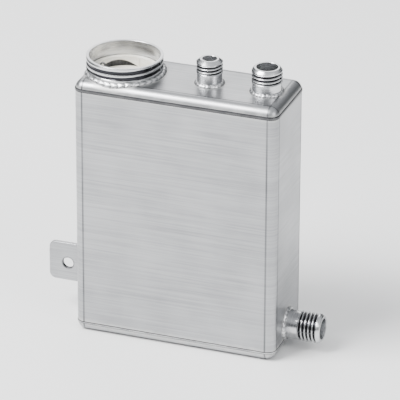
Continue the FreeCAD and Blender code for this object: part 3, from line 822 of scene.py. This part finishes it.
def make_port_bead(label, facts):
    _, axis, middle = stub_mount(label)
    side = TANK_HIGH.x if axis.x else TANK_TOP
    centre = middle + axis * (side - middle.dot(axis))
    stations = port_stations(centre, axis, facts["shank"] * MM, PORT_BEAD_PERIOD)
    piece = weld_bead(f"{label}_bead", stations, PORT_BEAD_LEGS, facts["seed"])
    finish_piece(piece, WELD, "tank", "weld_bead", f"{label}_port_weld")


def make_neck_bead():
    stations = neck_stations(NECK_COLLAR, NECK_BEAD_PERIOD)
    piece = weld_bead("neck_bead", stations, NECK_BEAD_LEGS, NECK_BEAD_SEED, NECK_BEAD_RIPPLE)
    finish_piece(piece, WELD, "tank", "weld_bead", "filler_neck_weld")


for label, facts in STUBS.items():
    make_port_bead(label, facts)
make_neck_bead()


# ---------------------------------------------------------------- seams round the tank

PLAN_ROUND = 4 * (SKIN_CORE.x + SKIN_CORE.y) + TURN * EDGE_RADIUS


def outline_point(travel):
    """A point of the tank's plan, and its outward normal, that far round from the middle of +X."""
    travel = (travel + SKIN_CORE.y) % PLAN_ROUND
    bend = EDGE_RADIUS * TURN / 4
    for side in range(4):
        normal = Matrix.Rotation(side * TURN / 4, 3, "Z") @ X
        ahead = Z.cross(normal)
        half, away = (SKIN_CORE.x, SKIN_CORE.y) if side % 2 else (SKIN_CORE.y, SKIN_CORE.x)
        if travel <= 2 * half + bend or side == 3:
            straight = min(travel, 2 * half)
            turned = Matrix.Rotation((travel - straight) / EDGE_RADIUS, 3, "Z") @ normal
            return normal * away + ahead * (straight - half) + turned * EDGE_RADIUS, turned
        travel -= 2 * half + bend


SEAM_STEPS = 8
SEAM_ACROSS = 8
SEAM_PERIOD = 1.5 * MM
SEAM_SUNK = 0.3 * MM
SEAM_CRESCENT = 0.45
SEAM_SIZES = (0.85, 1.1)
SEAM_LEAST_WIDTH = 0.92
SEAM_WIDTH_SWELL = 0.08
SEAM_LEAST_LIFT = 0.6
SEAM_LIFT_SWELL = 0.4
# Painted shade: how dark a seam's ripple valleys get.
SEAM_RIPPLE_SHADE = 0.8
# Share of the way from the bead's middle to its edge where the painted shade along its edge starts.
SEAM_SHADE_EDGE = 0.7


def seam_bead(name, height, width, crown, seed, soot, gap):
    """A low butt bead with fine ripples, soot from 0 to 1 over it, and painted shade in its ripple
    valleys and along its edges.

    Gap is how far it stops short of the middle of +X, each way.
    """
    chance = random.Random(seed)
    length = PLAN_ROUND - 2 * gap
    count = round(length / SEAM_PERIOD)
    size = [chance.uniform(*SEAM_SIZES) for _ in range(count + 2)]
    steps = count * SEAM_STEPS
    rows = steps + 1 if gap else steps
    points, shade_and_soot = [], []
    for i in range(rows):
        spot, outward = outline_point(gap + length * i / steps)
        swell = SEAM_LEAST_WIDTH + SEAM_WIDTH_SWELL * bead_bump(i / SEAM_STEPS)
        for j in range(SEAM_ACROSS + 1):
            u = 2 * j / SEAM_ACROSS - 1
            phase = i / SEAM_STEPS + SEAM_CRESCENT * (1 - u * u)
            ripple = bead_bump(phase) * size[int(phase) % count]
            dome = math.sqrt(max(1 - u * u, 0))
            lift = crown * dome * (SEAM_LEAST_LIFT + SEAM_LIFT_SWELL * ripple)
            points.append(spot + outward * lift + Z * (height + u * width / 2 * swell))
            # Painted shade darkens the ripple valleys and the edges; soot darkens the whole bead.
            edge_shade = 1.0 if abs(u) > SEAM_SHADE_EDGE else 0.0
            shade_and_soot.append(max(soot, SEAM_RIPPLE_SHADE * (1 - ripple), edge_shade))
        hidden = [spot - outward * SEAM_SUNK + Z * (height + side * width / 2) for side in (1, -1)]
        points += hidden
        shade_and_soot += [1.0] * len(hidden)
    columns = SEAM_ACROSS + 1 + len(hidden)
    faces = tube_faces(rows, columns, close_rows=not gap)
    return new_piece(name, points, faces, SHARP_BEAD, shade_and_soot)


# The bottom seam leaves a gap where the weld of the suction port covers it.
SEAMS = {
    "top": {"height": TOP_SEAM_Z, "width": 2.8 * MM, "crown": 0.4 * MM, "seed": 21, "soot": 0.88,
            "gap": 0.0},
    "bottom": {"height": BOTTOM_SEAM_Z, "width": 1.7 * MM, "crown": 0.25 * MM, "seed": 22,
               "soot": 0.3, "gap": 5.5 * MM},
}
for label, facts in SEAMS.items():
    piece = seam_bead(f"{label}_seam_bead", **facts)
    finish_piece(piece, WELD, "tank", "weld_bead", f"{label}_seam_weld")


# ---------------------------------------------------------------- mounting tab

TAB_LOW, TAB_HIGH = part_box("mounting_tab")
TAB_CORNER = 5.0 * MM
TAB_CORNER_STEPS = 12
TAB_EDGE = 0.45 * MM
TAB_SUNK = 0.3 * MM
TAB_ROOT_CORNER = 0.6 * MM
TAB_ROOT_STEPS = 6
TAB_BEAD_LEGS = (2.2 * MM, 2.2 * MM)
TAB_BEAD_PERIOD = 2.9 * MM
TAB_BEAD_SEED = 15


def make_tab():
    """The mounting tab: a plate with two rounded corners and one bolt hole."""
    left, right, low, high = TAB_LOW.x, TAB_HIGH.x + TAB_SUNK, TAB_LOW.z, TAB_HIGH.z
    turn_x = left + TAB_CORNER
    outline = [(right, low), (right, high)]
    outline += arc((turn_x, high - TAB_CORNER), TAB_CORNER, 90, 180, TAB_CORNER_STEPS)
    outline += arc((turn_x, low + TAB_CORNER), TAB_CORNER, 180, 270, TAB_CORNER_STEPS)
    hole = MOUNTS["tab_hole"]
    holes = [((hole["pos_m"][0], hole["pos_m"][2]), hole["dims"]["r_mm"] * MM)]
    piece = upright_plate("tab_plate", outline, holes, TAB_LOW.y, TAB_HIGH.y, TAB_EDGE)
    finish_piece(piece, TAB_SHEET, "tank", "tank_sheet", "mounting_tab")


def stations_along(loop, middle, stubward, period):
    """Evenly spaced stations along a closed loop of (Y, Z) points about a middle."""
    gaps = [math.dist(p, loop[(i + 1) % len(loop)]) for i, p in enumerate(loop)]
    count = round(sum(gaps) / period) * BEAD_STEPS
    stations = []
    for k in range(count):
        travel, i = sum(gaps) * k / count, 0
        while travel > gaps[i]:
            travel -= gaps[i]
            i += 1
        here, there = Vector(loop[i]), Vector(loop[(i + 1) % len(loop)])
        spot = here.lerp(there, travel / gaps[i])
        ahead = (there - here).normalized()
        stations.append((middle + Y * spot.x + Z * spot.y, Y * ahead.y - Z * ahead.x, stubward))
    return stations


def make_tab_bead():
    """The bead round the tab's root, on the tank's left side."""
    half_y, half_z = (TAB_HIGH.y - TAB_LOW.y) / 2, (TAB_HIGH.z - TAB_LOW.z) / 2
    middle = Vector((TANK_LOW.x, (TAB_LOW.y + TAB_HIGH.y) / 2, (TAB_LOW.z + TAB_HIGH.z) / 2))
    r = TAB_ROOT_CORNER
    loop = []
    for across, up, start in ((half_y - r, half_z - r, 0), (r - half_y, half_z - r, 90),
                              (r - half_y, r - half_z, 180), (half_y - r, r - half_z, 270)):
        loop += arc((across, up), r, start, start + 90, TAB_ROOT_STEPS)
    stations = stations_along(loop, middle, -X, TAB_BEAD_PERIOD)
    piece = weld_bead("tab_bead", stations, TAB_BEAD_LEGS, TAB_BEAD_SEED)
    finish_piece(piece, WELD, "tank", "weld_bead", "mounting_tab_welds")


make_tab()
make_tab_bead()


# ---------------------------------------------------------------- filler strainer basket

SCREEN_LOW, SCREEN_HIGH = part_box("filler_strainer_screen")
FLOOR_LOW, FLOOR_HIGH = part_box("filler_strainer_floor")
FRAME_LOW, FRAME_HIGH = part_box("filler_strainer_frame")
LUG_LOW, LUG_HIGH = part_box("filler_strainer_lug")
WIRE_PITCH = 1.05 * MM
WIRE_RADIUS = 0.18 * MM
WIRE_SIDES = 6
# Above this share of upright, a wire takes its sideways direction from the neck's axis.
WIRE_UPRIGHT = 0.7


def wire_tube(path, closed):
    """Points and faces of a thin round wire along a path of points."""
    points, count = [], len(path)
    for i, here in enumerate(path):
        ahead = path[(i + 1) % count] if closed or i < count - 1 else here
        behind = path[i - 1] if closed or i else here
        along = (ahead - behind).normalized()
        from_neck = Vector((here.x - NECK_X, here.y, 0))
        side = along.cross(Z if abs(along.z) < WIRE_UPRIGHT else from_neck).normalized()
        other = along.cross(side)
        for k in range(WIRE_SIDES):
            t = TURN * k / WIRE_SIDES
            points.append(here + (side * math.cos(t) + other * math.sin(t)) * WIRE_RADIUS)
    return points, tube_faces(count, WIRE_SIDES, close_rows=closed)


def make_screen():
    """Plain-weave wire cloth round the basket.

    Upright wires and rings pass over and under each other, and over is 1 or -1 where they do.
    """
    radius = SCREEN_HIGH.x - NECK_X - WIRE_RADIUS * 2
    tall = SCREEN_HIGH.z - SCREEN_LOW.z
    uprights = 2 * round(TURN * radius / WIRE_PITCH / 2)
    rings = int(tall / WIRE_PITCH)
    first_ring = SCREEN_LOW.z + (tall - (rings - 1) * WIRE_PITCH) / 2
    wires = []
    for k in range(uprights):
        path = []
        for step in range(2 * rings + 1):
            row = step / 2 - 0.5
            over = math.cos(math.pi * row) * (1 if k % 2 else -1)
            height = min(SCREEN_HIGH.z, first_ring + row * WIRE_PITCH)
            height = max(SCREEN_LOW.z + WIRE_RADIUS, height)
            path.append(neck_point(radius + over * WIRE_RADIUS, TURN * k / uprights, height))
        wires.append(wire_tube(path, False))
    for k in range(rings):
        path = []
        for step in range(2 * uprights):
            over = math.cos(math.pi * step / 2) * (1 if k % 2 else -1)
            angle = TURN * step / uprights / 2
            path.append(neck_point(radius + over * WIRE_RADIUS, angle, first_ring + k * WIRE_PITCH))
        wires.append(wire_tube(path, True))
    points, faces = [], []
    for wire_points, wire_faces in wires:
        faces += [tuple(i + len(points) for i in face) for face in wire_faces]
        points += wire_points
    piece = new_piece("strainer_wire_cloth", points, faces, SHARP_WIRE)
    finish_piece(piece, WIRE, "filler_strainer", "stainless_mesh", "filler_strainer_screen")


BASKET_INNER = 22.0 * MM
BASKET_OUTER = 23.2 * MM
BASKET_FLANGE_THICK = 1.2 * MM
BASKET_STEPS = 360
ARCH_TOP = TANK_TOP - 1.0 * MM
ARCH_RADIUS = 26.0 * MM
# Angle of one window's middle, in degrees. The windows are 90 degrees apart.
ARCH_TURN = 37
WINDOW_LEAST = 0.05 * MM
MOULDED_EDGE = 0.18 * MM
MOULDED_EDGE_STEPS = 2
MOULDED_EDGE_FROM = 50


def arch_height(angle):
    """Top of the window at an angle, or the basket's floor where a foot stands."""
    heights = []
    for turn in (ARCH_TURN, ARCH_TURN + 90):
        off = BASKET_OUTER * math.sin(angle - math.radians(turn))
        heights.append(ARCH_TOP - ARCH_RADIUS + math.sqrt(ARCH_RADIUS ** 2 - off ** 2))
    return max(*heights, FLOOR_HIGH.z)


def make_basket():
    """The basket's moulded frame: a flange, a wall with arched windows between four feet, a hem."""
    flange = FRAME_HIGH.x - NECK_X
    under_flange = FRAME_HIGH.z - BASKET_FLANGE_THICK
    sill = FLOOR_HIGH.z
    out_sill, out_top, in_top, in_sill = 1, 2, 7, 8
    points, windows = [], []
    for i in range(BASKET_STEPS):
        angle = TURN * i / BASKET_STEPS
        top = arch_height(angle)
        windows.append(top - sill > WINDOW_LEAST)
        top = top if windows[-1] else sill
        section = [(BASKET_OUTER, FRAME_LOW.z), (BASKET_OUTER, sill), (BASKET_OUTER, top),
                   (BASKET_OUTER, under_flange), (flange, under_flange), (flange, FRAME_HIGH.z),
                   (BASKET_INNER, FRAME_HIGH.z), (BASKET_INNER, top), (BASKET_INNER, sill),
                   (BASKET_INNER, FRAME_LOW.z)]
        points += [neck_point(r, angle, h) for r, h in section]
    columns = len(section)
    faces = []
    for i in range(BASKET_STEPS):
        k = (i + 1) % BASKET_STEPS
        a, b = i * columns, k * columns
        through = windows[i] or windows[k]
        for j in range(columns):
            if not through or j not in (out_sill, in_top):
                faces.append((a + j, a + (j + 1) % columns, b + (j + 1) % columns, b + j))
        if through:
            faces += [(a + out_sill, a + in_sill, b + in_sill, b + out_sill),
                      (a + out_top, b + out_top, b + in_top, a + in_top)]
    piece = new_piece("strainer_frame", points, faces, SHARP_FRAME)
    rounding = piece.modifiers.new("moulded_edges", "BEVEL")
    rounding.width = MOULDED_EDGE
    rounding.segments = MOULDED_EDGE_STEPS
    rounding.limit_method = "ANGLE"
    rounding.angle_limit = math.radians(MOULDED_EDGE_FROM)
    finish_piece(piece, PLASTIC, "filler_strainer", "natural_plastic", "filler_strainer_frame")


RIB_COUNT = 6
# Share of the way round, from one rib to the next, that a rib takes up.
RIB_SHARE = 1 / 9
RIB_RISE = 0.5 * MM
RIB_INNER = 9.2 * MM
RIB_OUTER = 17.0 * MM
# Radii where the raised ring starts, reaches its full height, and ends.
RING_START = 6.8 * MM
RING_FULL = 7.4 * MM
RING_END = 8.6 * MM
DISC_PIN = 0.4 * MM
DISC_STEPS = 192


def make_basket_floor():
    """The basket's floor: a moulded disc with a raised ring and shallow ribs out towards the wall."""
    thick = FLOOR_HIGH.z - FLOOR_LOW.z
    ring = thick + RIB_RISE

    def outline(angle):
        off_rib = abs(angle * RIB_COUNT / TURN % 1 - 0.5) * 2 / RIB_SHARE
        rib = thick + RIB_RISE * smoothstep(1 - off_rib)
        return [(DISC_PIN, 0), (BASKET_INNER, 0), (BASKET_INNER, thick), (RIB_OUTER, rib),
                (RIB_INNER, rib), (RING_END, ring), (RING_FULL, ring), (RING_START, thick),
                (DISC_PIN, thick)]

    place = Matrix.Translation((NECK_X, 0, FLOOR_LOW.z))
    piece = lathe("strainer_floor", outline, DISC_STEPS, place, SHARP_DISC)
    finish_piece(piece, PLASTIC, "filler_strainer", "natural_plastic", "filler_strainer_floor")


LUG_EYE = 1.3 * MM
LUG_EDGE = 0.25 * MM
LUG_SUNK = 0.3 * MM
LUG_STEPS = 24


def make_lug():
    """The upright eye that a hook lifts the basket by."""
    middle_x, half = (LUG_LOW.x + LUG_HIGH.x) / 2, (LUG_HIGH.x - LUG_LOW.x) / 2
    eye = (middle_x, LUG_HIGH.z - half)
    outline = [(middle_x - half, LUG_LOW.z - LUG_SUNK), (middle_x + half, LUG_LOW.z - LUG_SUNK)]
    outline += arc(eye, half, 0, 180, LUG_STEPS)
    holes = [(eye, LUG_EYE)]
    piece = upright_plate("strainer_lug", outline, holes, LUG_LOW.y, LUG_HIGH.y, LUG_EDGE)
    finish_piece(piece, ZINC, "filler_strainer", "zinc_steel", "filler_strainer_lug")


make_screen()
make_basket()
make_basket_floor()
make_lug()


# ---------------------------------------------------------------- finishes of the CAD nodes

NODE_MATERIALS = {
    "tank_body": BODY_SHEET, "top_cap": CAP_SHEET, "bottom_cap": CAP_SHEET,
    "return_drop_tube": MILL, "baffle_shelf": MILL, "baffle_shelf_welds": WELD,
    "suction_strainer_nut": ZINC, "suction_strainer_core": WIRE, "suction_strainer_screen": WIRE,
    "suction_strainer_end_cap": ZINC,
}
for name, material in NODE_MATERIALS.items():
    NODES[name].data.materials.clear()
    NODES[name].data.materials.append(material)


# ---------------------------------------------------------------- stage, light and camera

STAGE_HALF = 3.0
PAPER_ROUGHNESS = 0.75
PAPER_TONES = (0.91, 0.91, 0.905), (0.93, 0.93, 0.925)
PAPER_CLOUD = (6, 3)


def make_floor():
    """A wide sheet of pale paper under the tank."""
    corners = [(-STAGE_HALF, -STAGE_HALF, TANK_BASE), (STAGE_HALF, -STAGE_HALF, TANK_BASE),
               (STAGE_HALF, STAGE_HALF, TANK_BASE), (-STAGE_HALF, STAGE_HALF, TANK_BASE)]
    floor = new_piece("floor", corners, [(0, 1, 2, 3)], SHARP_PLATE)
    shader = Shader("floor_paper", NOT_METAL)
    shader.surface.inputs["Roughness"].default_value = PAPER_ROUGHNESS
    color = shader.blend_colors(shader.noise(*PAPER_CLOUD), *PAPER_TONES)
    floor.data.materials.append(shader.use(color))


# Place, size and power of each light.
LIGHTS = {
    "key": ((-1.3, -1.2, 2.2), 1.4, 185),
    "fill": ((1.9, -0.9, 1.3), 1.0, 26),
    "back": ((-0.9, 2.0, 1.3), 1.6, 22),
}


def make_light(name, place, size, power):
    """A soft square light that faces the middle of the tank."""
    data = bpy.data.lights.new(name, "AREA")
    data.shape = "SQUARE"
    data.size = size
    data.energy = power
    lamp = bpy.data.objects.new(name, data)
    lamp.location = place
    lamp.rotation_euler = (Vector(place) - SKIN_MIDDLE).to_track_quat("Z", "Y").to_euler()
    bpy.context.scene.collection.objects.link(lamp)


# The world's colors, and how far up each begins or ends: 0 is level or below, 1 is overhead.
WALL_LOW = (0.10, 0.105, 0.11)
WALL_HIGH = (0.16, 0.165, 0.17)
WALL_TO = 0.35
CEILING = (1.0, 1.02, 1.05)
CEILING_FROM = 0.62


def make_world():
    """A studio with dim walls and a bright ceiling, so that bare metal has dark edges."""
    world = bpy.data.worlds.new("studio")
    world.use_nodes = True
    tree = world.node_tree
    direction = tree.nodes.new("ShaderNodeTexCoord").outputs["Generated"]
    split = tree.nodes.new("ShaderNodeSeparateXYZ")
    ramp = tree.nodes.new("ShaderNodeValToRGB")
    tree.links.new(direction, split.inputs["Vector"])
    tree.links.new(split.outputs["Z"], ramp.inputs["Fac"])
    tree.links.new(ramp.outputs["Color"], tree.nodes["Background"].inputs["Color"])
    stops = ramp.color_ramp.elements
    stops[0].position, stops[0].color = 0.0, (*WALL_LOW, 1)
    stops[1].position, stops[1].color = 1.0, (*CEILING, 1)
    for position, color in ((WALL_TO, WALL_HIGH), (CEILING_FROM, CEILING)):
        stop = stops.new(position)
        stop.color = (*color, 1)
    bpy.context.scene.world = world


# Angles in degrees, and the lens in millimetres. The aim is the point at the picture's middle.
CAMERA_AZIMUTH = 19.80
CAMERA_ELEVATION = 25.48
CAMERA_ROLL = 0.22
CAMERA_DISTANCE = 2.784
CAMERA_LENS = 337.9
CAMERA_AIM_RIGHT = 8.87 * MM
CAMERA_AIM_UP = 94.84 * MM
CAMERA_CLIP = 50


def make_camera():
    """A long lens, above and to the right of the front."""
    azimuth, elevation, roll = (math.radians(a) for a in (CAMERA_AZIMUTH, CAMERA_ELEVATION, CAMERA_ROLL))
    right = Vector((math.cos(azimuth), math.sin(azimuth), 0))
    back = Vector((math.sin(azimuth) * math.cos(elevation), -math.cos(azimuth) * math.cos(elevation),
                   math.sin(elevation)))
    up = back.cross(right)
    level_right, level_up = right, up
    right = math.cos(roll) * level_right + math.sin(roll) * level_up
    up = math.cos(roll) * level_up - math.sin(roll) * level_right
    data = bpy.data.cameras.new("camera")
    data.lens = CAMERA_LENS
    data.clip_end = CAMERA_CLIP
    camera = bpy.data.objects.new("camera", data)
    place = right * CAMERA_AIM_RIGHT + up * CAMERA_AIM_UP + back * CAMERA_DISTANCE
    turn = Matrix((right, up, back)).transposed().to_4x4()
    camera.matrix_world = Matrix.Translation(place) @ turn
    bpy.context.scene.collection.objects.link(camera)
    bpy.context.scene.camera = camera


make_floor()
make_world()
for name, facts in LIGHTS.items():
    make_light(name, *facts)
make_camera()
